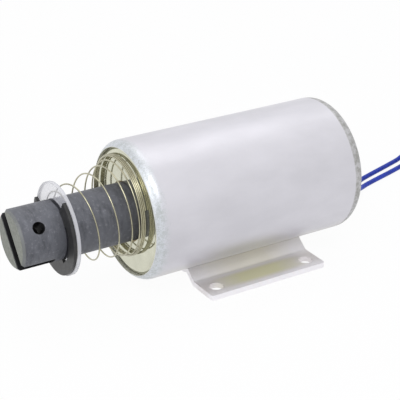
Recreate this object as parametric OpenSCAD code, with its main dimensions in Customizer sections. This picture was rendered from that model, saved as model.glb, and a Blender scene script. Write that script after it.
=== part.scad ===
// Push pull solenoid: a tubular case on a saddle base, with a spring returned plunger.
// The plunger points to -X. Z = 0 is the surface the base stands on, and the origin is
// the centre of the four mounting holes.

/* [Case] */
// Outside diameter of the case
case_d = 50.8; // [45:0.1:60]
// Length of the case over its rolled rims
case_len = 88.3; // [80:0.1:110]
// Wall of the case
case_wall = 1.25; // [0.8:0.05:1.6]
// Outside radius of the rolled rims
rim_round = 4.2; // [3:0.1:5]
// Width of each rolled lip, from the outside of the case to the lip's edge
lip_w = 2.1; // [1.8:0.1:2.6]
// From the case's front plane back to the centre of the mounting holes
base_back = 45.6; // [40:0.1:50]

/* [End plates] */
// Thickness of each end plate
plate_t = 6; // [4:0.1:8]
// How far each plate's face lies inside the rim
face_set = 1.2; // [0.6:0.1:2]
// Width of the ring groove between a lip and the plate's face
lip_gap = 0.4; // [0.2:0.1:1]
// Depth of that ring groove in the plate
lip_gap_depth = 1.1; // [0.6:0.1:1.6]

/* [Plunger] */
// Diameter of the plunger
plunger_d = 21.3; // [19:0.1:23]
// From the case's front plane to the plunger's tip, at rest
plunger_out = 42.4; // [38:0.1:50]
// From the case's front plane back to the plunger's shoulder, at rest
plunger_in = 20; // [15:0.1:24]
// Travel of the plunger
stroke = 19.05; // [12:0.05:20]
// Length of the plunger's conical nose
nose_len = 8; // [5:0.1:10]
// Width of the flat rim round the cone's foot
nose_rim = 2.2; // [1.5:0.1:3]
// Half angle of the cone
nose_angle = 30; // [20:1:35]
// Chamfer round the tip
tip_chamfer = 0.9; // [0.3:0.1:1.5]
// Width of the slot in the tip
slot_w = 5; // [3:0.1:6]
// Depth of the slot in the tip
slot_depth = 12.2; // [10:0.1:14]
// Diameter of the cross hole for the link pin
pin_hole_d = 4.3; // [3:0.1:5]
// From the tip to the cross hole's centre
pin_hole_set = 6.9; // [6:0.1:8]
// Turn of the slot about the plunger's axis
slot_turn = 143; // [0:1:360]
// From the tip to the front wall of the ring groove
groove_set = 15.7; // [15:0.1:18]
// Depth of the ring groove
groove_depth = 1.5; // [1:0.1:2]

/* [Retaining ring] */
// Outside diameter of the retaining ring
ring_d = 32.4; // [29:0.1:33]
// Thickness of the retaining ring
ring_t = 1.2; // [0.8:0.05:1.6]
// Half angle of the retaining ring's mouth
ring_mouth = 50; // [40:1:60]
// Middle of the mouth, from straight up
ring_turn = -16; // [-180:1:180]
// Half angle of the ring's middle prong
prong_angle = 17; // [10:1:25]
// Angle from the middle prong to the prong at each arm's end
arm_prong_angle = 100; // [80:1:110]
// Diameter of the relieved arcs between the prongs
relief_d = 24; // [23:0.1:26]

/* [Spring washer] */
// Outside diameter of the washer that the spring pushes
washer_d = 33.3; // [31:0.1:35]
// Thickness of that washer
washer_t = 1.2; // [0.8:0.1:2]

/* [Return spring] */
// Diameter of the spring wire
wire_d = 0.55; // [0.4:0.05:0.7]
// Coil diameter at the small end, between wire centres
small_d = 25.6; // [24:0.1:28]
// From the large end's wire out to the case's lip, where the two are nearest
large_gap = 1.9; // [1.5:0.1:5]
// Closed turns at the small end
small_turns = 1.25; // [1:0.25:2]
// Open turns between the ends
open_turns = 4.7; // [3:0.1:5]
// How much the open turns crowd towards the large end: 1 is an even pitch
crowding = 2.2; // [1:0.1:2.4]
// How soon the cone widens: 1 is even, less is nearer the small end
widening = 0.7; // [0.5:0.05:1]
// Closed turns at the large end
large_turns = 3; // [2:0.25:4]
// Turn pitch of the closed turns
closed_pitch = 0.6; // [0.6:0.05:0.9]
// How far the loose large end sits above the plunger's axis
lean_up = 1.95; // [0:0.05:2]
// How far the loose large end sits towards the lead grommet's side
lean_side = 2.1; // [0:0.1:2.2]

/* [Guide tube and pole piece] */
// Wall of the brass guide tube
tube_wall = 0.4; // [0.3:0.05:0.6]
// How far the tube's mouth lies inside the front plate's face
tube_set = 0.5; // [0:0.1:2]
// Length of the pole piece inside the tube
pole_in_tube = 14; // [8:0.1:18]
// Thickness of the shim that stops the plunger
shim_t = 0.5; // [0.3:0.1:0.8]
// Diameter of the pole piece's stem through the rear plate
stem_d = 12; // [8:0.1:13]
// How far the riveted end of the stem stands out
stem_head = 0.4; // [0.2:0.1:0.6]

/* [Winding] */
// Wall of the bobbin's core
bobbin_wall = 1; // [0.6:0.1:1.4]
// Thickness of each bobbin flange
flange_t = 1.6; // [1:0.1:2.4]
// From the tape out to the edge of the bobbin's flanges
winding_gap = 1.9; // [1:0.1:3]
// Thickness of the tape over the winding
tape_t = 0.5; // [0.2:0.05:0.6]
// Thickness of the insulating washer behind the front plate
insulator_t = 0.8; // [0.5:0.1:1.5]
// Depth of the connection space before the rear plate
chamber_len = 5.5; // [4:0.1:8]

/* [Base] */
// Length of the base along the case
base_len = 49.3; // [46:0.1:60]
// Width of the base over its flanges
base_w = 52; // [50:0.1:62]
// Thickness of the base's sheet
base_t = 2; // [1.6:0.1:2.6]
// Height of the hollow under the middle of the saddle
seat_rise = 2.35; // [1.5:0.05:3]
// Width of the curved seat under the case
seat_w = 17.2; // [14:0.1:20]
// Slope of the sheet from the seat down to each flange
ramp_angle = 38; // [30:1:45]
// Inside bend radius of the sheet
bend_r = 1.6; // [0.8:0.1:2]
// Corner radius of the flanges
corner_r = 1.2; // [1:0.1:4]
// Diameter of the mounting holes
mount_hole_d = 5.2; // [4:0.1:5.5]
// Spacing of the mounting holes along the case
mount_dx = 39; // [34:0.1:40]
// Spacing of the mounting holes across the case
mount_dy = 41; // [40:0.1:43]

/* [Leads] */
// Diameter of each insulated lead
lead_d = 2; // [1.6:0.1:2]
// Diameter of the bare stranded end
strand_d = 1.2; // [0.8:0.1:1.4]
// Length of the bare stranded end
strand_len = 7; // [4:0.1:8]
// Distance of the grommet from the axis, across the case
grommet_y = 12; // [11:0.1:13]
// Distance of the grommet below the axis
grommet_drop = 9; // [8:0.1:10]
// Diameter of the grommet's neck in the rear plate
grommet_d = 8; // [7.6:0.1:9]
// Diameter of the grommet's flange
grommet_flange_d = 10.4; // [9.6:0.1:11]
// Thickness of the grommet's outer flange
grommet_t = 1.6; // [1:0.1:2]
// Distance between the two leads in the grommet
lead_pitch = 3.4; // [3:0.1:3.8]
// Length of each terminal pin on the bobbin
terminal_len = 3; // [2:0.1:3.5]
// Diameter of each terminal pin
terminal_d = 1.6; // [1:0.1:2]

/* [Clearances] */
// Gap between the plates and the inside of the case
plate_fit = 0.05; // [0.02:0.01:0.1]
// Radial running gap round the plunger in its tube
run_fit = 0.06; // [0.03:0.01:0.1]
// Radial gap round the tube, the pole piece and the grommet
seat_fit = 0.04; // [0.02:0.01:0.08]
// Gap of the bobbin on the tube, and of its flanges in the case
bobbin_fit = 0.3; // [0.1:0.05:0.5]
// Radial gap round the plunger in the spring washer
washer_fit = 0.1; // [0.05:0.01:0.1]
// Gap between the retaining ring and what it touches
ring_fit = 0.05; // [0.02:0.01:0.1]
// Gap between the spring's ends and their seats
spring_fit = 0.03; // [0.02:0.01:0.1]
// Gap between plunger and shim at the end of the stroke
landing = 0.2; // [0.1:0.05:0.5]
// Gap between the two cones at the end of the stroke
cone_fit = 0.3; // [0.2:0.05:0.6]
// Gap between the case and its saddle
saddle_fit = 0.05; // [0.02:0.01:0.1]

/* [Hidden] */
$fn = 96;

steel = [0.80, 0.80, 0.82];
plated = [0.78, 0.78, 0.68];
spring_steel = [0.66, 0.65, 0.54];
phosphate = [0.38, 0.37, 0.39];
lead_blue = [0.20, 0.28, 0.70];

case_r = case_d / 2;
lip_r = case_r - lip_w;
front_x = -base_back;
axis_z = seat_rise + base_t + saddle_fit + case_r;
bore_in_case = case_r - case_wall;

plunger_r = plunger_d / 2;
tip_s = -plunger_out;
groove_s = tip_s + groove_set;
groove_r = plunger_r - groove_depth;
washer_s = groove_s + ring_t + ring_fit;
washer_bore_r = plunger_r + washer_fit;
foot_r = plunger_r - nose_rim;

tube_r = plunger_r + run_fit;
tube_out_r = tube_r + tube_wall;
plate_bore_r = tube_out_r + seat_fit;
front_in_s = face_set + plate_t;
rear_in_s = case_len - front_in_s;
rear_face_s = case_len - face_set;
pole_s = plunger_in + stroke + landing + shim_t;
pole_r = tube_r - seat_fit;

bobbin_s = front_in_s + insulator_t;
bobbin_end_s = rear_in_s - chamber_len;
core_r = tube_out_r + bobbin_fit;
winding_r = core_r + bobbin_wall;
flange_r = bore_in_case - bobbin_fit;
tape_r = flange_r - winding_gap - tape_t - seat_fit;

large_d = 2 * (lip_r - large_gap - norm([lean_side, lean_up])) - wire_d;
spring_start_s = washer_s + washer_t + spring_fit + wire_d / 2;
spring_end_s = face_set - spring_fit - wire_d / 2;
open_start_s = spring_start_s + small_turns * closed_pitch;
open_end_s = spring_end_s - large_turns * closed_pitch;
all_turns = small_turns + open_turns + large_turns;
first_turn = -0.49 - small_turns;

exit_s = rear_face_s + grommet_t;
lead_y = [grommet_y + lead_pitch / 2, grommet_y - lead_pitch / 2];
exit_x = front_x + exit_s;
exit_z = axis_z - grommet_drop;

// Places a child that is drawn along its own Z on the plunger's axis, s behind the front plane.
module on_axis(s = 0) {
  translate([front_x + s, 0, axis_z]) rotate([0, 90, 0]) children();
}

// A direction round the axis: 0 is straight up and 90 is towards -Y.
module facing(turn) {
  rotate([0, 0, 180 + turn]) children();
}

module ring(r_out, r_in, len) {
  rotate_extrude() translate([r_in, 0]) square([r_out - r_in, len]);
}

// Half section of a bar whose two ends are rounded.
module rounded_bar(r, len, round_r) {
  square([r - round_r, len]);
  translate([0, round_r]) square([r, len - 2 * round_r]);
  translate([r - round_r, round_r]) circle(round_r);
  translate([r - round_r, len - round_r]) circle(round_r);
}

// Half section of an end plate: it fills the rolled rim, with a ring groove inside the lip.
module plate_section(bore_r) {
  inset = case_wall + plate_fit;
  difference() {
    intersection() {
      translate([0, inset]) rounded_bar(case_r - inset, case_len - 2 * inset, rim_round - inset);
      translate([bore_r, face_set]) square([case_r, plate_t]);
    }
    translate([lip_r - lip_gap, 0]) square([case_r, face_set + lip_gap_depth]);
  }
}

module case_shell() {
  color(steel) on_axis() rotate_extrude() difference() {
    rounded_bar(case_r, case_len, rim_round);
    translate([0, case_wall])
      rounded_bar(bore_in_case, case_len - 2 * case_wall, rim_round - case_wall);
    translate([-1, -1]) square([lip_r + 1, case_len + 2]);
  }
}

module front_plate() {
  color(plated) on_axis() rotate_extrude() plate_section(plate_bore_r);
}

module grommet_hole(r, s, len) {
  translate([front_x + s, grommet_y, exit_z]) rotate([0, 90, 0]) cylinder(r = r, h = len);
}

module rear_plate() {
  color(plated) difference() {
    translate([front_x + case_len, 0, axis_z]) rotate([0, -90, 0])
      rotate_extrude() plate_section(stem_d / 2 + seat_fit);
    grommet_hole(grommet_d / 2 + seat_fit, rear_in_s - 1, plate_t + 2);
  }
}

module guide_tube() {
  tube_s = face_set + tube_set;
  color([0.80, 0.68, 0.38]) on_axis(tube_s) ring(tube_out_r, tube_r, pole_s + pole_in_tube - tube_s);
}

// The fixed core: a flat rim for the shim, a cone that takes the plunger's nose, and a stem.
module pole_piece() {
  depth = nose_len + cone_fit;
  mouth_r = foot_r + cone_fit;
  color([0.62, 0.62, 0.64]) on_axis(pole_s) difference() {
    union() {
      cylinder(r = pole_r, h = rear_in_s - pole_s);
      cylinder(r = stem_d / 2, h = rear_face_s + stem_head - pole_s);
    }
    cylinder(r1 = mouth_r, r2 = mouth_r - depth * tan(nose_angle), h = depth);
  }
}

module stop_shim() {
  color([0.82, 0.70, 0.40]) on_axis(pole_s - shim_t) ring(pole_r, foot_r + cone_fit, shim_t);
}

module bobbin() {
  len = bobbin_end_s - bobbin_s;
  color([0.93, 0.92, 0.88]) on_axis(bobbin_s) rotate_extrude() {
    translate([core_r, 0]) square([bobbin_wall, len]);
    translate([core_r, 0]) square([flange_r - core_r, flange_t]);
    translate([core_r, len - flange_t]) square([flange_r - core_r, flange_t]);
  }
}

module winding() {
  color([0.72, 0.40, 0.22]) on_axis(bobbin_s + flange_t)
    ring(tape_r, winding_r + seat_fit, bobbin_end_s - bobbin_s - 2 * flange_t);
}

module winding_tape() {
  color([0.85, 0.75, 0.35]) on_axis(bobbin_s + flange_t)
    ring(tape_r + seat_fit + tape_t, tape_r + seat_fit, bobbin_end_s - bobbin_s - 2 * flange_t);
}

module front_insulator() {
  color([0.55, 0.42, 0.28]) on_axis(front_in_s) ring(flange_r, core_r, insulator_t);
}

// Ring that keeps the bobbin forward, with a window for the grommet and the terminals.
module rear_spacer() {
  color([0.25, 0.25, 0.27]) difference() {
    on_axis(bobbin_end_s) ring(flange_r, core_r, chamber_len);
    grommet_hole(grommet_flange_d / 2 + bobbin_fit, bobbin_end_s - 1, chamber_len + 2);
  }
}

module coil_terminal(i) {
  color([0.85, 0.80, 0.62]) translate([front_x + bobbin_end_s, lead_y[i], exit_z])
    rotate([0, 90, 0]) cylinder(d = terminal_d, h = terminal_len);
}

module inner_lead(i) {
  start_s = bobbin_end_s + terminal_len;
  color(lead_blue) translate([front_x + start_s, lead_y[i], exit_z])
    rotate([0, 90, 0]) cylinder(d = lead_d, h = exit_s - start_s);
}

module lead_grommet() {
  color([0.15, 0.15, 0.16]) difference() {
    union() {
      grommet_hole(grommet_d / 2, rear_in_s, plate_t + grommet_t);
      grommet_hole(grommet_flange_d / 2, rear_face_s, grommet_t);
    }
    for (y = lead_y)
      translate([front_x + rear_in_s - 1, y, exit_z])
        rotate([0, 90, 0]) cylinder(d = lead_d + 2 * seat_fit, h = plate_t + grommet_t + 2);
  }
}

// Points of a round bend of radius r at corner b, on the way from a to c.
function bend(a, b, c, r, n = 8) =
  let (u = (a - b) / norm(a - b), v = (c - b) / norm(c - b),
       half = acos(u * v) / 2,
       mid = (u + v) / norm(u + v),
       centre = b + mid * r / sin(half),
       from = b + u * r / tan(half) - centre,
       to = b + v * r / tan(half) - centre)
  [for (i = [0:n]) let (w = from * (n - i) + to * i) centre + w * r / norm(w)];

// Half of the base's section, from the flange's edge to the middle of the saddle.
seat_r = case_r + saddle_fit;
function on_arc(r, y) = [y, axis_z - sqrt(r * r - y * y)];
crest = on_arc(seat_r, seat_w / 2);
ramp_foot = [crest[0] + (crest[1] - base_t) / tan(ramp_angle), base_t];
under_foot = [ramp_foot[0] - base_t * tan(ramp_angle / 2), 0];
under_r = seat_r + base_t;
// Where the underside of the ramp meets the underside of the seat.
slope = tan(ramp_angle);
reach = slope * under_foot[0] - axis_z;
under_y = (slope * reach + sqrt(pow(slope * reach, 2)
  - (1 + slope * slope) * (reach * reach - under_r * under_r))) / (1 + slope * slope);
under_crest = on_arc(under_r, under_y);

seat_top = [for (i = [1:12]) on_arc(seat_r, (crest[0] - bend_r) * (1 - i / 12))];
seat_under = [for (i = [1:12]) on_arc(under_r, (under_y - bend_r / 2) * (1 - i / 12))];
top_half = concat([[base_w / 2, base_t]],
  bend([base_w / 2, base_t], ramp_foot, crest, bend_r),
  bend(ramp_foot, crest, on_arc(seat_r, crest[0] - bend_r), bend_r / 2), seat_top);
under_half = concat([[base_w / 2, 0]],
  bend([base_w / 2, 0], under_foot, under_crest, bend_r),
  bend(under_foot, under_crest, on_arc(under_r, under_y - bend_r / 2), bend_r / 4), seat_under);
function mirrored(p) = [for (i = [len(p) - 2:-1:0]) [-p[i][0], p[i][1]]];
function reversed(p) = [for (i = [len(p) - 1:-1:0]) p[i]];
base_section = concat(top_half, mirrored(top_half), reversed(concat(under_half, mirrored(under_half))));

module rounded_plan(len, width, r) {
  square([len - 2 * r, width], center = true);
  square([len, width - 2 * r], center = true);
  for (x = [-1, 1], y = [-1, 1])
    translate([x * (len / 2 - r), y * (width / 2 - r)]) circle(r);
}

module mounting_base() {
  color([0.76, 0.76, 0.70]) difference() {
    intersection() {
      translate([-base_len / 2, 0, 0]) rotate([90, 0, 90])
        linear_extrude(base_len) polygon(base_section);
      linear_extrude(axis_z) rounded_plan(base_len, base_w, corner_r);
    }
    for (x = [-1, 1], y = [-1, 1])
      translate([x * mount_dx / 2, y * mount_dy / 2, -1])
        cylinder(d = mount_hole_d, h = base_t + 2);
  }
}

// The return spring: a right-hand cone of wire, closed at both ends, whose open turns
// draw together towards the large end.
function spring_s(t) =
  t < small_turns ? spring_start_s + t * closed_pitch
  : t > small_turns + open_turns ? open_end_s + (t - small_turns - open_turns) * closed_pitch
  : open_end_s - (open_end_s - open_start_s) * pow(1 - (t - small_turns) / open_turns, crowding);
function spring_share(t) = pow(min(1, max(0, (t - small_turns) / open_turns)), widening);
function spring_r(t) = (small_d + (large_d - small_d) * spring_share(t)) / 2;
function spring_out(t) = let (a = 360 * (t + first_turn)) [0, -sin(a), cos(a)];
function spring_mid(t) =
  [front_x + spring_s(t), lean_side * spring_share(t), axis_z + lean_up * spring_share(t)]
  + spring_r(t) * spring_out(t);
function wire_ring(t, sides) =
  let (step = 0.002, along = spring_mid(t + step) - spring_mid(t - step),
       side = cross(along / norm(along), spring_out(t)))
  [for (i = [0:sides - 1]) let (a = 360 * i / sides)
    spring_mid(t) + wire_d / 2 * (cos(a) * spring_out(t) + sin(a) * side)];

// Faces of a tube swept through rings of points, with flat ends.
function tube_faces(rings, sides) = concat(
  [[for (i = [0:sides - 1]) i]],
  [for (k = [0:rings - 2], i = [0:sides - 1]) let (j = (i + 1) % sides)
    [k * sides + i, (k + 1) * sides + i, (k + 1) * sides + j, k * sides + j]],
  [[for (i = [sides - 1:-1:0]) (rings - 1) * sides + i]]);

module return_spring() {
  sides = 8;
  per_turn = 20;
  rings = floor(all_turns * per_turn) + 1;
  points = [for (k = [0:rings - 1]) each wire_ring(all_turns * k / (rings - 1), sides)];
  color(spring_steel) polyhedron(points, tube_faces(rings, sides), convexity = 10);
}

module spring_washer() {
  color([0.93, 0.93, 0.95]) on_axis(washer_s) ring(washer_d / 2, washer_bore_r, washer_t);
}

// A slice of a disc, between two angles.
module slice(r, from, to) {
  far = 2 * r;
  mid = (from + to) / 2;
  intersection() {
    circle(r);
    polygon([[0, 0], far * [cos(from), sin(from)], far * [cos(mid), sin(mid)],
             far * [cos(to), sin(to)]]);
  }
}

// Retaining ring: a wide mouth, and three prongs that grip the groove between relieved arcs.
module retaining_ring() {
  color([0.20, 0.20, 0.21]) on_axis(groove_s) facing(ring_turn) linear_extrude(ring_t) difference() {
    circle(d = ring_d);
    circle(groove_r + ring_fit);
    slice(ring_d, -ring_mouth, ring_mouth);
    slice(relief_d / 2, 180 + prong_angle, 180 + arm_prong_angle);
    slice(relief_d / 2, 180 - arm_prong_angle, 180 - prong_angle);
  }
}

module plunger() {
  body_len = plunger_out + plunger_in;
  groove_w = ring_t + ring_fit;
  color(phosphate) on_axis(tip_s) difference() {
    union() {
      cylinder(r1 = plunger_r - tip_chamfer, r2 = plunger_r, h = tip_chamfer);
      translate([0, 0, tip_chamfer]) cylinder(r = plunger_r, h = body_len - tip_chamfer);
      translate([0, 0, body_len])
        cylinder(r1 = foot_r, r2 = foot_r - nose_len * tan(nose_angle), h = nose_len);
    }
    translate([0, 0, groove_set]) ring(plunger_r + 1, groove_r, groove_w);
    facing(slot_turn) {
      translate([-plunger_r - 1, -slot_w / 2, -1]) cube([plunger_d + 2, slot_w, slot_depth + 1]);
      translate([0, 0, pin_hole_set]) rotate([90, 0, 0])
        cylinder(d = pin_hole_d, h = plunger_d + 2, center = true);
    }
  }
}

// Leads: each route starts at the grommet, drops to the surface and runs to a flat coil.
coil_centre = [130, 29];
coil_r = 11;
coil_turns = 2.7;
coil_bottom = [2.6, 0.6];
entry_turn = [100, 135];
route_1 = [[49, 13.7, 20.8], [54, 13.9, 19.3], [58, 14.4, 16.7], [62, 15.4, 13.2],
  [66, 17, 9.5], [70, 19.2, 6.1], [74, 22, 3.4], [79, 26, 1.5], [84.5, 29.4, 1],
  [91, 31.8, 1], [98.5, 34.2, 1], [106.5, 36.8, 1], [112.5, 38.8, 1.1], [117.5, 40.4, 2.1],
  [122, 41.7, 3.6]];
route_2 = [[49, 10.3, 20.8], [54, 10.5, 19.3], [58, 10.9, 16.7], [62, 11.8, 13.2],
  [66, 13.3, 9.5], [70, 15.5, 6.1], [74, 18.4, 3.4], [78, 21.5, 1.5], [82, 23.7, 1],
  [87, 25.4, 1], [93, 27.2, 1], [100.5, 29.4, 1], [108, 31.8, 1], [112.5, 33.4, 1.2],
  [116.5, 35.4, 1.5]];
function coil_z(i) = coil_bottom[i] + lead_d / 2;
function coil_point(i, r, turn) =
  [coil_centre[0] + r * cos(turn), coil_centre[1] + r * sin(turn), coil_z(i)];
coil_out_r = coil_r + coil_turns * lead_d / 2;
coil_in_r = coil_r - coil_turns * lead_d / 2;
function whole_route(i) = concat([[exit_x, lead_y[i], exit_z]], i == 0 ? route_1 : route_2,
  [coil_point(i, coil_out_r, entry_turn[i])]);

function unit(v) = v / norm(v);
function lead_ring(route, k, sides) =
  let (n = len(route), along = unit(route[min(k + 1, n - 1)] - route[max(k - 1, 0)]),
       across = unit(cross([0, 0, 1], along)), up = cross(along, across))
  [for (i = [0:sides - 1]) let (a = 360 * i / sides)
    route[k] + lead_d / 2 * (cos(a) * across + sin(a) * up)];

module lead(i) {
  sides = 8;
  route = whole_route(i);
  points = [for (k = [0:len(route) - 1]) each lead_ring(route, k, sides)];
  color(lead_blue) polyhedron(points, tube_faces(len(route), sides), convexity = 6);
}

// The last of each lead curls into the middle of its coil before the bare strands.
// The tail starts a little inside the coil, and is a little thinner than its turns.
tail_sink = 0.4;
tail_d = lead_d - 0.1;
tail_r = 5;
tail_angle = 100;
module on_tail(i) {
  end_turn = entry_turn[i] - 360 * coil_turns;
  translate([coil_centre[0], coil_centre[1], coil_z(i)]) rotate([0, 0, end_turn])
    translate([coil_in_r + tail_sink - tail_r, 0, 0]) children();
}

module lead_coil(i) {
  color(lead_blue) {
    translate([coil_centre[0], coil_centre[1], coil_bottom[i]])
      ring(coil_out_r + lead_d / 2, coil_in_r - lead_d / 2, lead_d);
    on_tail(i) rotate([0, 0, -tail_angle]) rotate_extrude(angle = tail_angle)
      translate([tail_r, 0]) circle(d = tail_d);
  }
}

module lead_strands(i) {
  color([0.80, 0.78, 0.75]) on_tail(i) rotate([0, 0, -tail_angle]) translate([tail_r, 0, 0])
    rotate([90, 0, 0]) cylinder(d = strand_d, h = strand_len);
}

tie_turn = -60;
tie_w = 2.4;
tie_t = 0.45;
tie_gap = 0.15;
module coil_tie() {
  in_r = coil_in_r - lead_d / 2 - tie_gap * 2;
  out_r = coil_out_r + lead_d / 2 + tie_gap;
  top = coil_bottom[0] + lead_d + tie_gap;
  color([0.12, 0.12, 0.13]) translate([coil_centre[0], coil_centre[1], 0])
    rotate([0, 0, tie_turn]) rotate([90, 0, 0]) linear_extrude(tie_w, center = true) difference() {
      translate([in_r - tie_t, 0]) square([out_r - in_r + 2 * tie_t, top + tie_t]);
      translate([in_r, tie_t]) square([out_r - in_r, top - tie_t]);
    }
}

case_shell();
front_plate();
rear_plate();
guide_tube();
pole_piece();
stop_shim();
bobbin();
winding();
winding_tape();
front_insulator();
rear_spacer();
coil_terminal(0);  // coil_terminal_1
coil_terminal(1);  // coil_terminal_2
inner_lead(0);  // inner_lead_1
inner_lead(1);  // inner_lead_2
lead_grommet();
mounting_base();
return_spring();
spring_washer();
retaining_ring();
plunger();
lead(0);  // lead_1
lead(1);  // lead_2
lead_coil(0);  // lead_1_coil
lead_coil(1);  // lead_2_coil
lead_strands(0);  // lead_1_strands
lead_strands(1);  // lead_2_strands
coil_tie();
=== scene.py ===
"""Looks of a push pull solenoid: its leads, return spring, finishes, studio and camera."""

from math import cos, pi, radians, sin

import bpy
import numpy as np
from bpy.props import FloatProperty, FloatVectorProperty, PointerProperty
from mathutils import Matrix, Vector


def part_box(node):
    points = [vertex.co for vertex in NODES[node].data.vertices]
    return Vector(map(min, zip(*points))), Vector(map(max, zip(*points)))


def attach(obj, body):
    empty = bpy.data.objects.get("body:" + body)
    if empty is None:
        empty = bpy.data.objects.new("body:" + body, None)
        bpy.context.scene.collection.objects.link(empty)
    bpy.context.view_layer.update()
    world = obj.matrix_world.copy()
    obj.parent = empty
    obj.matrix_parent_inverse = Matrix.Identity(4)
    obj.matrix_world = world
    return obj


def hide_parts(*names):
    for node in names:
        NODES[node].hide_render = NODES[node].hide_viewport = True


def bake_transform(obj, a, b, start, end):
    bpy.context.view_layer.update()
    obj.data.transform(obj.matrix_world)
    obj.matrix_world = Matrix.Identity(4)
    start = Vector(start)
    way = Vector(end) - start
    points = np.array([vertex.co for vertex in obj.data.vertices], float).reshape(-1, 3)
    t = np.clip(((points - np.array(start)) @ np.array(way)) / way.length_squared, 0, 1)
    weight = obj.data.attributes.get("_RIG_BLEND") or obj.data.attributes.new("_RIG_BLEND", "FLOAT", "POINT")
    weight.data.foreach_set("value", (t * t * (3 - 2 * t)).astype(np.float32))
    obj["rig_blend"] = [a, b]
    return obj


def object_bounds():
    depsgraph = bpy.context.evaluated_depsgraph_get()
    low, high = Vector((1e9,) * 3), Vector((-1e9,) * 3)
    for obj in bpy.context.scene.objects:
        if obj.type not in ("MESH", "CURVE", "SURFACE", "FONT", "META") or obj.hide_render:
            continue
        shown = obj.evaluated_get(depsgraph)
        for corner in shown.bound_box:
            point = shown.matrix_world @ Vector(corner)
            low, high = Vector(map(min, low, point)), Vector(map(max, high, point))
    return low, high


bl_info = {
    "name": "Push pull solenoid",
    "version": (1, 0, 0),
    "blender": (4, 5, 0),
    "location": "3D Viewport > Sidebar > Solenoid",
    "description": "Dresses a tubular solenoid with its leads, return spring and finishes",
    "category": "Object",
}

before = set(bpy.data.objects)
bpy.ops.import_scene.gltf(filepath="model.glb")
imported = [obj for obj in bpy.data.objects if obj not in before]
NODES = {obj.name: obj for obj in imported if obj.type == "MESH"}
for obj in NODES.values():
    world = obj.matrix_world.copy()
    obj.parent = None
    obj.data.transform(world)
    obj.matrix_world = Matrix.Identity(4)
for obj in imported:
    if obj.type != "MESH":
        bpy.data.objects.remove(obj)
CAD_BOX = [list(map(float, corner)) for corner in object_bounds()]
MM = 0.001

case_low, case_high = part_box("case_shell")
CASE_FRONT = case_low[0] - 0.56 * MM
CASE_LEN = 88.3
LIP_W = 2.1
AXIS_Z = (case_low[2] + case_high[2]) / 2
CASE_R = (case_high[2] - case_low[2]) / 2
AXIS = Vector((0, 0, AXIS_Z))


# ---------------------------------------------------------------- settings


def size(name, text, value):
    return FloatProperty(name=name, description=text, default=value, unit="LENGTH")


def colour(name, text, value):
    return FloatVectorProperty(
        name=name, description=text, default=value, subtype="COLOR", size=3, min=0, max=1
    )


class SolenoidSizes(bpy.types.PropertyGroup):
    """Sizes of the pieces that are made here."""

    lead_d: size("Lead diameter", "Over the insulation", 2.0 * MM)
    strand_d: size("Strand bundle", "Across the bare strands", 1.2 * MM)
    wire_d: size("Spring wire", "Diameter of the return spring's wire", 0.55 * MM)


class SolenoidColours(bpy.types.PropertyGroup):
    """Colours of the finishes."""

    zinc: colour("Case zinc", "Bright plating on the case", (0.655, 0.645, 0.685))
    plate: colour("Plate zinc", "Yellow tinted plating on the plates", (0.60, 0.60, 0.48))
    base: colour("Base zinc", "Plating on the mounting base", (0.95, 0.93, 0.95))
    spring: colour("Spring steel", "Plated spring wire", (0.44, 0.42, 0.31))
    plunger: colour("Phosphate", "Dark grey finish of the plunger", (0.112, 0.116, 0.132))
    insulation: colour("Lead insulation", "Blue of the leads", (0.018, 0.045, 0.40))
    washer: colour("Spring washer", "Natural nylon", (0.86, 0.86, 0.90))


# ---------------------------------------------------------------- materials


class Value:
    """A socket of a material, on which arithmetic adds the nodes that work it out."""

    def __init__(self, tree, out):
        self.tree, self.out = tree, out

    def node(self, kind, settings=None, out=0, **values):
        made = self.tree.nodes.new("ShaderNode" + kind)
        for key, setting in (settings or {}).items():
            setattr(made, key, setting)
        for key, value in values.items():
            socket = made.inputs[int(key[1:]) if key[1:].isdigit() else key.replace("_", " ")]
            if isinstance(value, Value):
                self.tree.links.new(value.out, socket)
            else:
                socket.default_value = value
        return Value(self.tree, made.outputs[out])

    def maths(self, operation, a, b=0.5, c=0.5):
        return self.node("Math", {"operation": operation}, i0=a, i1=b, i2=c)

    def __add__(self, other):
        return self.maths("ADD", self, other)

    __radd__ = __add__

    def __mul__(self, other):
        return self.maths("MULTIPLY", self, other)

    __rmul__ = __mul__

    def __sub__(self, other):
        return self.maths("SUBTRACT", self, other)

    def __rsub__(self, other):
        return self.maths("SUBTRACT", other, self)

    def __pow__(self, other):
        return self.maths("POWER", self, other)

    def over(self, low, high):
        """0 below low, 1 above high, and even between them."""
        return self.node("MapRange", {"clamp": True}, Value=self, From_Min=low, From_Max=high)

    def mix(self, a, b):
        """Colour a where this is 0 and colour b where it is 1."""
        made = self.tree.nodes.new("ShaderNodeMix")
        made.data_type = "RGBA"
        for slot, value in ((0, self), (6, a), (7, b)):
            if isinstance(value, Value):
                self.tree.links.new(value.out, made.inputs[slot])
            elif isinstance(value, (int, float)):
                made.inputs[slot].default_value = value
            else:
                made.inputs[slot].default_value = (*tuple(value)[:3], 1)
        return Value(self.tree, made.outputs[2])


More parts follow.
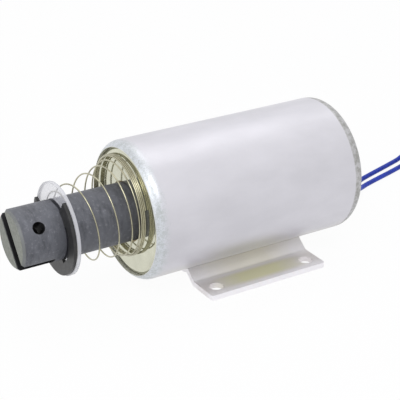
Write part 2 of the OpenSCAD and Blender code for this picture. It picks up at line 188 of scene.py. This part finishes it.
class Finish:
    """A new material, with its main shader and the coordinates of the piece."""

    def __init__(self, name, **constants):
        self.material = bpy.data.materials.new(name)
        self.material.use_nodes = True
        self.tree = self.material.node_tree
        self.shader = self.tree.nodes["Principled BSDF"]
        self.root = Value(self.tree, None)
        self.place = self.root.node("TexCoord", out="Object")
        for key, value in constants.items():
            self.set(**{key: value})

    def set(self, **values):
        for key, value in values.items():
            socket = self.shader.inputs[key.replace("_", " ")]
            if isinstance(value, Value):
                self.tree.links.new(value.out, socket)
            elif socket.type == "RGBA":
                socket.default_value = (*tuple(value)[:3], 1)
            else:
                socket.default_value = value

    def axis(self, letter):
        """One of the object coordinates, in millimetres."""
        return self.root.node("SeparateXYZ", Vector=self.place, out=letter) * 1000

    def from_axis(self):
        """Distance from the solenoid's axis, in millimetres."""
        across, above = self.axis("Y"), self.axis("Z") - AXIS_Z / MM
        return (across * across + above * above) ** 0.5

    def stretched(self, x=1, y=1, z=1):
        return self.root.node("Mapping", Vector=self.place, Scale=(x, y, z))

    def noise(self, scale, detail=4.0, rough=0.55, at=None, distortion=0.0):
        return self.root.node(
            "TexNoise", Vector=at or self.place, Scale=scale, Detail=detail,
            Roughness=rough, Distortion=distortion,
        )

    def bump(self, height, distance, strength=1.0):
        self.set(Normal=self.root.node("Bump", Height=height, Distance=distance, Strength=strength))

    def on(self, *names):
        for name in names:
            thing = NODES.get(name) or bpy.data.objects[name]
            thing.data.materials.clear()
            thing.data.materials.append(self.material)
        return self.material


# ---------------------------------------------------------------- modelling


def select_only(*things):
    if bpy.context.object and bpy.context.object.mode != "OBJECT":
        bpy.ops.object.mode_set(mode="OBJECT")
    bpy.ops.object.select_all(action="DESELECT")
    for thing in things:
        thing.select_set(True)
    bpy.context.view_layer.objects.active = things[0] if things else None


def wire(name, lines, radius, sides=4):
    """A curve of round wire along each list of points, in metres."""
    select_only()
    bpy.ops.object.add(type="CURVE")
    piece = bpy.context.object
    piece.name = piece.data.name = name
    piece.data.dimensions = "3D"
    piece.data.bevel_depth = radius
    piece.data.bevel_resolution = sides
    piece.data.use_fill_caps = True
    for points in lines:
        spline = piece.data.splines.new("POLY")
        spline.points.add(len(points) - 1)
        for point, place in zip(spline.points, points):
            point.co = (*place, 1)
        spline.use_smooth = True
    return piece


def as_mesh(piece):
    select_only(piece)
    bpy.ops.object.convert(target="MESH")
    bpy.ops.object.shade_smooth()
    return bpy.context.object


def smooth_line(points, steps=5):
    """A smooth line through the points."""
    line = []
    ends = [2 * points[0] - points[1], *points, 2 * points[-1] - points[-2]]
    for a, b, c, d in zip(ends, ends[1:], ends[2:], ends[3:]):
        for k in range(steps):
            t = k / steps
            line.append(
                0.5 * (2 * b + (c - a) * t + (2 * a - 5 * b + 4 * c - d) * t * t
                       + (3 * b - a - 3 * c + d) * t ** 3)
            )
    return line + [points[-1]]


def dress(operator_class):
    """Adds an operator to the steps that the panel lists."""
    STEPS.append(operator_class)
    return operator_class


STEPS = []

# ---------------------------------------------------------------- camera and studio


@dress
class SOLENOID_OT_camera(bpy.types.Operator):
    """Sets up the camera, in front of the plunger and above it"""

    bl_idname = "solenoid.camera"
    bl_label = "Camera"

    def execute(self, context):
        right = Vector((0.85684, -0.51548, -0.00994))
        up = Vector((0.22145, 0.35054, 0.90999))
        back = Vector((-0.46560, -0.78192, 0.41451))
        turn = Matrix((right, up, back)).transposed()
        select_only()
        bpy.ops.object.camera_add(location=(-0.22206, -0.34984, 0.21219), rotation=turn.to_euler())
        camera = bpy.context.object
        camera.name = "studio_camera"
        camera.data.sensor_width = 36
        camera.data.lens = 110.11
        camera.data.clip_start = 0.01
        context.scene.camera = camera
        return {"FINISHED"}


def lamp(name, place, aim, width, power):
    place, aim = Vector(place), Vector(aim)
    turn = (place - aim).to_track_quat("Z", "Y").to_euler()
    select_only()
    bpy.ops.object.light_add(type="AREA", location=place, rotation=turn)
    light = bpy.context.object
    light.name = name
    light.data.shape = "RECTANGLE"
    light.data.size, light.data.size_y = width
    light.data.energy = power


@dress
class SOLENOID_OT_studio(bpy.types.Operator):
    """Lays a pale floor and lights it softly"""

    bl_idname = "solenoid.studio"
    bl_label = "Studio"

    def execute(self, context):
        select_only()
        bpy.ops.mesh.primitive_plane_add(size=6, location=(0, 0, -0.00005))
        floor = bpy.context.object
        floor.name = "studio_floor"
        self.whiten(floor)
        self.sky(context)
        middle = (0, 0, 0.03)
        lamp("key_lamp", (-0.25, -0.45, 0.75), middle, (0.6, 0.4), 2.0)
        lamp("top_lamp", (0.15, 0.25, 0.8), middle, (0.7, 0.5), 0.9)
        lamp("left_lamp", (-0.7, -0.1, 0.35), middle, (0.4, 0.4), 0.8)
        context.scene.view_settings.view_transform = "Standard"
        return {"FINISHED"}

    def seen(self, root):
        rays = root.node("LightPath", out="Is Camera Ray")
        paths = rays.out.node.outputs
        for name in ("Is Glossy Ray", "Is Transmission Ray"):
            rays = rays.maths("MAXIMUM", rays, Value(root.tree, paths[name]))
        return rays

    def whiten(self, floor):
        finish = Finish("studio_white", Base_Color=(0.9, 0.9, 0.9), Roughness=0.9)
        finish.on(floor.name)
        tree = finish.tree
        glow = tree.nodes.new("ShaderNodeEmission")
        glow.inputs["Color"].default_value = (1, 1, 1, 1)
        mix = tree.nodes.new("ShaderNodeMixShader")
        share = self.seen(finish.root) * 0.95
        tree.links.new(share.out, mix.inputs[0])
        tree.links.new(finish.shader.outputs[0], mix.inputs[1])
        tree.links.new(glow.outputs[0], mix.inputs[2])
        tree.links.new(mix.outputs[0], tree.nodes["Material Output"].inputs["Surface"])

    def sky(self, context):
        world = context.scene.world or bpy.data.worlds.new("studio_sky")
        context.scene.world = world
        world.use_nodes = True
        tree = world.node_tree
        backdrop = tree.nodes["Background"]
        root = Value(tree, None)
        shown = self.seen(root)
        shade = shown.mix((0.82, 0.83, 0.88), (1, 1, 1))
        tree.links.new(shade.out, backdrop.inputs["Color"])
        strength = shown * 0.22 + 0.78
        tree.links.new(strength.out, backdrop.inputs["Strength"])


# ---------------------------------------------------------------- leads

COIL_CENTRE = Vector((130, 29, 0))
COIL_R, COIL_TURNS, TAIL_R, TAIL_ANGLE = 11, 2.7, 5, 100
STRAND_LEN = 7
LEADS = {
    "lead_1": {
        "y": 13.7, "level": 3.6, "entry": 100, "length": 0.292,
        "route": [
            (49, 13.7, 20.8), (54, 13.9, 19.3), (58, 14.4, 16.7), (62, 15.4, 13.2), (66, 17, 9.5),
            (70, 19.2, 6.1), (74, 22, 3.4), (79, 26, 1.5), (84.5, 29.4, 1), (91, 31.8, 1),
            (98.5, 34.2, 1), (106.5, 36.8, 1), (112.5, 38.8, 1.1),
            (117.5, 40.4, 2.1), (122, 41.7, 3.6),
        ],
    },
    "lead_2": {
        "y": 10.3, "level": 1.6, "entry": 135, "length": 0.285,
        "route": [
            (49, 10.3, 20.8), (54, 10.5, 19.3), (58, 10.9, 16.7), (62, 11.8, 13.2), (66, 13.3, 9.5),
            (70, 15.5, 6.1), (74, 18.4, 3.4), (78, 21.5, 1.5), (82, 23.7, 1), (87, 25.4, 1),
            (93, 27.2, 1), (100.5, 29.4, 1), (108, 31.8, 1), (112.5, 33.4, 1.2), (116.5, 35.4, 1.5),
        ],
    },
}


def coil_place(radius, turn, level):
    angle = radians(turn)
    return COIL_CENTRE + Vector((radius * cos(angle), radius * sin(angle), level))


@dress
class SOLENOID_OT_leads(bpy.types.Operator):
    """Runs the two blue leads to their tied coil and strips their ends"""

    bl_idname = "solenoid.leads"
    bl_label = "Leads"

    def execute(self, context):
        sizes = context.scene.solenoid_sizes
        jacket = self.insulation(context)
        copper = self.tinned()
        grommet_low, grommet_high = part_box("lead_grommet")
        exit_x = grommet_high[0] / MM
        exit_z = (grommet_low[2] + grommet_high[2]) / 2 / MM
        for name, lead in LEADS.items():
            start = Vector((exit_x, lead["y"], exit_z))
            outer = COIL_R + COIL_TURNS
            inner = COIL_R - COIL_TURNS
            run = smooth_line(
                [
                    start, *map(Vector, lead["route"]),
                    coil_place(outer, lead["entry"], lead["level"]),
                ]
            )
            for point in run:
                point.z = max(point.z, 1.0)
            steps = 84
            coil = [
                coil_place(
                    outer + (inner - outer) * k / steps,
                    lead["entry"] - 360 * COIL_TURNS * k / steps, lead["level"],
                )
                for k in range(1, steps + 1)
            ]
            last = lead["entry"] - 360 * COIL_TURNS
            hub = coil_place(inner - TAIL_R, last, lead["level"])
            tail = [hub + self.arm(TAIL_R, last - TAIL_ANGLE * k / 10) for k in range(1, 11)]
            path = [point * MM for point in run + coil + tail]
            piece = as_mesh(wire(name + "_jacket", [path], sizes.lead_d / 2, 5))
            piece.data.materials.append(jacket)
            ends = self.strands(name, hub, last - TAIL_ANGLE, sizes)
            ends.data.materials.append(copper)
            for thing in (piece, ends):
                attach(thing, "housing")
            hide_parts(name, name + "_coil")
            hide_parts(name + "_strands")
        Finish("tie_plastic", Base_Color=(0.02, 0.02, 0.022), Roughness=0.5).on("coil_tie")
        return {"FINISHED"}

    def arm(self, radius, turn):
        return Vector((radius * cos(radians(turn)), radius * sin(radians(turn)), 0))

    def strands(self, name, hub, turn, sizes):
        """Seven bare strands, six of them twisted round the first."""
        start = hub + self.arm(TAIL_R, turn)
        along = self.arm(1, turn - 90)
        side = self.arm(1, turn)
        radius = sizes.strand_d / MM / 6
        lines = [[(start + along * (STRAND_LEN * k / 16)) * MM for k in range(17)]]
        for i in range(6):
            line = []
            for k in range(33):
                angle = 2 * pi * (i / 6 + k / 40)
                out = side * cos(angle) + Vector((0, 0, sin(angle)))
                line.append((start + along * (STRAND_LEN * k / 32) + out * radius * 2) * MM)
            lines.append(line)
        return as_mesh(wire(name + "_twist", lines, radius * MM, 2))

    def insulation(self, context):
        finish = Finish("lead_blue", Specular_IOR_Level=0.22)
        blue = Vector(context.scene.solenoid_colours.insulation)
        cloudy = finish.noise(260, 3)
        finish.set(Base_Color=cloudy.over(0.3, 0.7).mix(blue * 0.8, blue * 1.15))
        finish.set(Roughness=finish.noise(900, 2) * 0.2 + 0.32)
        finish.bump(finish.noise(1500, 2), 0.00002, 0.4)
        return finish.material

    def tinned(self):
        finish = Finish("tinned_strands", Metallic=0.9)
        finish.set(Base_Color=finish.noise(700).mix((0.5, 0.46, 0.38), (0.8, 0.78, 0.74)))
        finish.set(Roughness=finish.noise(500) * 0.3 + 0.2)
        return finish.material


# ---------------------------------------------------------------- return spring


@dress
class SOLENOID_OT_spring(bpy.types.Operator):
    """Winds the conical return spring between the washer and the front plate"""

    bl_idname = "solenoid.spring"
    bl_label = "Return spring"

    small_turns, open_turns, large_turns, pitch = 1.25, 4.7, 3.0, 0.6
    small_r, large_r, first_turn = 12.8, 18.26, -0.49
    lean_up, lean_side, widening, crowding = 1.95, 2.1, 0.7, 2.2
    points_per_turn = 64

    def execute(self, context):
        low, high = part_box("return_spring")
        wire_d = context.scene.solenoid_sizes.wire_d
        start, end = low[0] + wire_d / 2, high[0] - wire_d / 2
        total = self.small_turns + self.open_turns + self.large_turns
        open_start = start + self.small_turns * self.pitch * MM
        open_end = end - self.large_turns * self.pitch * MM
        count = int(total * self.points_per_turn)
        places, follow = [], []
        for k in range(count + 1):
            t = total * k / count
            share = min(1.0, max(0.0, (t - self.small_turns) / self.open_turns))
            if t < self.small_turns:
                x = start + t * self.pitch * MM
            elif share >= 1:
                x = open_end + (t - self.small_turns - self.open_turns) * self.pitch * MM
            else:
                x = open_end - (open_end - open_start) * (1 - share) ** self.crowding
            wide = share ** self.widening
            radius = (self.small_r + (self.large_r - self.small_r) * wide) * MM
            angle = 2 * pi * (t + self.first_turn - self.small_turns)
            places.append(
                Vector((
                    x, self.lean_side * wide * MM - radius * sin(angle),
                    AXIS_Z + self.lean_up * wide * MM + radius * cos(angle),
                ))
            )
            follow.append(min(1.0, max(0.0, (open_end - x) / (open_end - open_start))))
        spring = as_mesh(wire("conical_spring", [places], wire_d / 2, 3))
        spring.data.materials.append(self.steel(context))
        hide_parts("return_spring")
        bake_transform(spring, "housing", "spring_seat", start=(end, 0, AXIS_Z), end=(start, 0, AXIS_Z))
        self.keep_wire_round(spring, places, follow)
        return {"FINISHED"}

    def keep_wire_round(self, spring, places, follow):
        """Each turn of wire moves as one, so that the wire stays round as the spring shortens."""
        line = np.array([tuple(p) for p in places])
        share = np.array(follow)
        points = np.array([tuple(v.co) for v in spring.data.vertices])
        nearest = np.array([np.argmin(((line - p) ** 2).sum(1)) for p in points])
        weights = spring.data.attributes["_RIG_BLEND"]
        weights.data.foreach_set("value", share[nearest].astype(np.float32))

    def steel(self, context):
        finish = Finish("spring_wire", Metallic=0.95)
        tone = Vector(context.scene.solenoid_colours.spring)
        finish.set(Base_Color=finish.noise(220, 3).over(0.3, 0.7).mix(tone * 0.8, tone * 1.25))
        finish.set(Roughness=finish.noise(600, 3) * 0.16 + 0.14)
        return finish.material


# ---------------------------------------------------------------- case and plates


@dress
class SOLENOID_OT_case(bpy.types.Operator):
    """Plates the rolled case in bright zinc"""

    bl_idname = "solenoid.case"
    bl_label = "Case"

    def execute(self, context):
        tone = Vector(context.scene.solenoid_colours.zinc)
        finish = Finish("bright_zinc", Metallic=0.75)
        x = finish.axis("X")
        front, back = CASE_FRONT / MM, CASE_FRONT / MM + CASE_LEN
        drawn = finish.noise(90, 5, at=finish.stretched(0.5, 1, 1))
        fine = finish.noise(900, 3)
        spangle = finish.noise(2300, 4, 0.7)
        grain = finish.noise(500, 4, 0.7)
        shoulder = finish.from_axis().over(CASE_R / MM - 3.4, CASE_R / MM - 2.4)
        rolled = shoulder * (1 - (x + grain * 4).over(front + 4, front + 7.5))
        worn = x.over(back - 4.9, back - 4.4) * shoulder
        reach = 1 - finish.from_axis().over(CASE_R / MM - LIP_W + 0.05, CASE_R / MM - LIP_W + 0.25)
        plain = drawn.over(0.35, 0.65).mix(tone * 0.96, tone * 1.04)
        low = 1 - finish.axis("Z").over(6, 15)
        plain = (low * drawn.over(0.4, 0.6) * 0.5).mix(plain, (0.66, 0.65, 0.52))
        grit = (spangle * 0.6 + grain * 0.4).over(0.42, 0.58)
        speck = grit.mix((0.44, 0.48, 0.47), (0.70, 0.74, 0.79))
        shade = (rolled * 0.75).mix(plain, speck)
        dull = grain.over(0.4, 0.6).mix((0.27, 0.27, 0.24), (0.50, 0.50, 0.50))
        shade = (worn * 0.8).mix(shade, dull)
        inner = reach * (1 - x.over(front + 2.5, front + 3))
        shade = inner.mix(shade, (0.66, 0.66, 0.60))
        finish.set(Base_Color=shade, Metallic=0.75 - inner * 0.6)
        finish.set(Roughness=0.38 + fine * 0.1 - rolled * 0.08)
        finish.bump(spangle * (rolled + worn) + fine * 0.15, 0.00008, 0.5)
        finish.on("case_shell")
        return {"FINISHED"}


@dress
class SOLENOID_OT_plates(bpy.types.Operator):
    """Gives the two end plates their smooth yellow tinted plating"""

    bl_idname = "solenoid.plates"
    bl_label = "End plates"

    def execute(self, context):
        tone = Vector(context.scene.solenoid_colours.plate)
        finish = Finish("yellow_zinc", Metallic=0.92)
        cloud = finish.noise(70, 4)
        finish.set(Base_Color=cloud.over(0.35, 0.65).mix(tone * 0.92, tone * 1.12))
        finish.set(Roughness=finish.noise(400, 3) * 0.06 + 0.03)
        finish.on("front_plate", "rear_plate")
        return {"FINISHED"}


@dress
class SOLENOID_OT_base(bpy.types.Operator):
    """Plates the mounting base, more yellow on its level faces, with a painted shadow along the case"""

    bl_idname = "solenoid.base"
    bl_label = "Mounting base"

    def execute(self, context):
        tone = Vector(context.scene.solenoid_colours.base)
        finish = Finish("base_zinc", Metallic=0.5)
        x, y = finish.axis("X"), finish.axis("Y")
        stain = finish.noise(120, 4)
        middle = 1 - (x.maths("ABSOLUTE", x) + stain * 8).over(12, 24)
        side = y.maths("ABSOLUTE", y)
        flange = side.over(14.5, 17) * (1 - side.over(22, 24.5))
        ramp = 1 - side.over(13, 15)
        shade = stain.mix(tone * 0.92, tone * 1.04)
        shade = (middle * ramp * 0.5).mix(shade, (0.84, 0.80, 0.62))
        shade = (flange * 0.7).mix(shade, (0.74, 0.70, 0.70))
        shade = (middle * flange * 0.85).mix(shade, (0.80, 0.79, 0.50))
        # Painted shadow: a dark band on the base along its contact with the case.
        contact_shadow = 1 - finish.from_axis().over(CASE_R / MM + 0.15, CASE_R / MM + 0.7)
        shade = (contact_shadow * 0.75).mix(shade, (0.10, 0.09, 0.09))
        finish.set(Base_Color=shade)
        finish.set(Roughness=finish.noise(700, 3) * 0.15 + 0.25)
        finish.bump(finish.noise(900, 3), 0.00004, 0.4)
        finish.on("mounting_base")
        return {"FINISHED"}


# ---------------------------------------------------------------- plunger


@dress
class SOLENOID_OT_plunger(bpy.types.Operator):
    """Gives the plunger its mottled phosphate finish, with a painted highlight on the chamfer and painted
    shade in the slot and cross hole
    """

    bl_idname = "solenoid.plunger"
    bl_label = "Plunger"

    slot_w, slot_depth, pin_set, pin_r = 5.0, 12.3, 6.9, 2.15
    pin_axis = (-0.798636, 0.601815)

    def execute(self, context):
        tone = Vector(context.scene.solenoid_colours.plunger)
        finish = Finish("phosphate_steel", Metallic=0.35)
        streak = finish.noise(300, 5, 0.65, at=finish.stretched(2.2, 0.8, 0.8))
        spots = finish.noise(900, 3, 0.7)
        cloud = finish.noise(120, 3)
        shade = streak.over(0.35, 0.68).mix(tone * 0.68, tone * 1.5)
        shade = cloud.over(0.4, 0.65).mix(shade, tone * 1.2)
        shade = (spots.over(0.56, 0.7) * 0.45).mix(shade, (0.30, 0.30, 0.33))
        x = finish.axis("X")
        tip = CAD_BOX[0][0] / MM
        # Painted highlight: the chamfer round the tip is painted lighter.
        chamfer_highlight = 1 - x.over(tip + 0.7, tip + 1.0)
        shade = (chamfer_highlight * 0.5).mix(shade, (0.24, 0.25, 0.23))
        end = 1 - x.over(tip + 0.03, tip + 0.06)
        turned = spots.over(0.35, 0.65).mix((0.17, 0.18, 0.15), (0.26, 0.27, 0.24))
        shade = end.mix(shade, turned)
        # Painted shade: the inside of the slot and of the cross hole is painted near black.
        shade = self.cut(finish, x, tip).mix(shade, (0.012, 0.012, 0.014))
        finish.set(Base_Color=shade)
        finish.set(Roughness=spots * 0.2 + 0.42)
        finish.bump(spots, 0.00006, 0.5)
        finish.on("plunger")
        ring = Finish("black_ring", Metallic=0.3)
        ring.set(Base_Color=ring.noise(500).mix((0.012, 0.012, 0.012), (0.05, 0.05, 0.05)))
        ring.set(Roughness=ring.noise(800) * 0.2 + 0.3)
        ring.on("retaining_ring")
        return {"FINISHED"}

    def cut(self, finish, x, tip):
        """1 in the slot and in the cross hole for the link pin, where shade is painted."""
        pin_y, pin_z = self.pin_axis
        across, above = finish.axis("Y"), finish.axis("Z") - AXIS_Z / MM
        through = across * pin_y + above * pin_z
        along = across * pin_z + above * -pin_y
        half = self.slot_w / 2
        wall = 1 - through.maths("ABSOLUTE", through).over(half, half + 0.04)
        floor = tip + self.slot_depth
        slot = wall * (1 - x.over(floor, floor + 0.1)) * x.over(tip + 0.1, tip + 0.4)
        back = x - (tip + self.pin_set)
        reach = back * back + along * along
        hole = 1 - (reach ** 0.5).over(self.pin_r + 0.02, self.pin_r + 0.07)
        return slot.maths("MAXIMUM", slot, hole)


@dress
class SOLENOID_OT_washer(bpy.types.Operator):
    """Makes the spring's washer of clear natural nylon"""

    bl_idname = "solenoid.washer"
    bl_label = "Spring washer"

    def execute(self, context):
        finish = Finish("natural_nylon", Roughness=0.3)
        tone = Vector(context.scene.solenoid_colours.washer)
        edge = finish.from_axis().over(16.0, 16.5)
        milky = finish.noise(300, 3).mix(tone * 0.95, tone * 1.05)
        finish.set(Base_Color=(edge * 0.6).mix(milky, (0.52, 0.52, 0.54)))
        finish.set(Alpha=edge * 0.4 + 0.36)
        finish.on("spring_washer")
        return {"FINISHED"}


@dress
class SOLENOID_OT_works(bpy.types.Operator):
    """Finishes the pieces inside the case, and the grommet"""

    bl_idname = "solenoid.works"
    bl_label = "Inner works"

    def execute(self, context):
        for name, tone, metal, rough, nodes in (
            # The brass is painted darker than brass: painted shade at the bore round the plunger, shared by
            # the shim.
            ("brass_with_painted_shade", (0.30, 0.23, 0.11), 0.95, 0.3, ("guide_tube", "stop_shim")),
            ("soft_iron", (0.42, 0.42, 0.43), 0.95, 0.35, ("pole_piece",)),
            ("bobbin_nylon", (0.72, 0.70, 0.60), 0.0, 0.45, ("bobbin",)),
            ("winding_copper", (0.45, 0.16, 0.06), 0.9, 0.3, ("winding",)),
            ("film_tape", (0.60, 0.42, 0.06), 0.0, 0.25, ("winding_tape",)),
            ("fibre_board", (0.20, 0.11, 0.05), 0.0, 0.7, ("front_insulator",)),
            ("spacer_nylon", (0.02, 0.02, 0.022), 0.0, 0.45, ("rear_spacer",)),
            ("tinned_pins", (0.62, 0.60, 0.55), 0.95, 0.3, ("coil_terminal_1", "coil_terminal_2")),
            ("inner_blue", (0.045, 0.075, 0.42), 0.0, 0.45, ("inner_lead_1", "inner_lead_2")),
            ("grommet_rubber", (0.018, 0.018, 0.018), 0.0, 0.6, ("lead_grommet",)),
        ):
            finish = Finish(name, Metallic=metal)
            tone = Vector(tone)
            finish.set(Base_Color=finish.noise(250, 4).mix(tone * 0.85, tone * 1.15))
            finish.set(Roughness=finish.noise(700, 3) * 0.2 + (rough - 0.1))
            finish.bump(finish.noise(1200, 3), 0.00003, 0.4)
            finish.on(*nodes)
        return {"FINISHED"}


# ---------------------------------------------------------------- panel


class SOLENOID_PT_panel(bpy.types.Panel):
    """Lists the pieces in the order in which they are made"""

    bl_idname = "SOLENOID_PT_panel"
    bl_label = "Push pull solenoid"
    bl_space_type = "VIEW_3D"
    bl_region_type = "UI"
    bl_category = "Solenoid"

    def draw(self, context):
        for group in (context.scene.solenoid_sizes, context.scene.solenoid_colours):
            box = self.layout.box()
            for name in group.__annotations__:
                box.prop(group, name)
        for step in STEPS:
            self.layout.operator(step.bl_idname)


CLASSES = (SolenoidSizes, SolenoidColours, *STEPS, SOLENOID_PT_panel)


def register():
    for item in CLASSES:
        bpy.utils.register_class(item)
    bpy.types.Scene.solenoid_sizes = PointerProperty(type=SolenoidSizes)
    bpy.types.Scene.solenoid_colours = PointerProperty(type=SolenoidColours)


def unregister():
    del bpy.types.Scene.solenoid_colours
    del bpy.types.Scene.solenoid_sizes
    for item in reversed(CLASSES):
        bpy.utils.unregister_class(item)


def main():
    register()
    bpy.ops.solenoid.camera()
    bpy.ops.solenoid.leads()
    bpy.ops.solenoid.studio()
    bpy.ops.solenoid.spring()
    bpy.ops.solenoid.case()
    bpy.ops.solenoid.plates()
    bpy.ops.solenoid.base()
    bpy.ops.solenoid.plunger()
    bpy.ops.solenoid.washer()
    bpy.ops.solenoid.works()


if __name__ == "__main__":
    main()
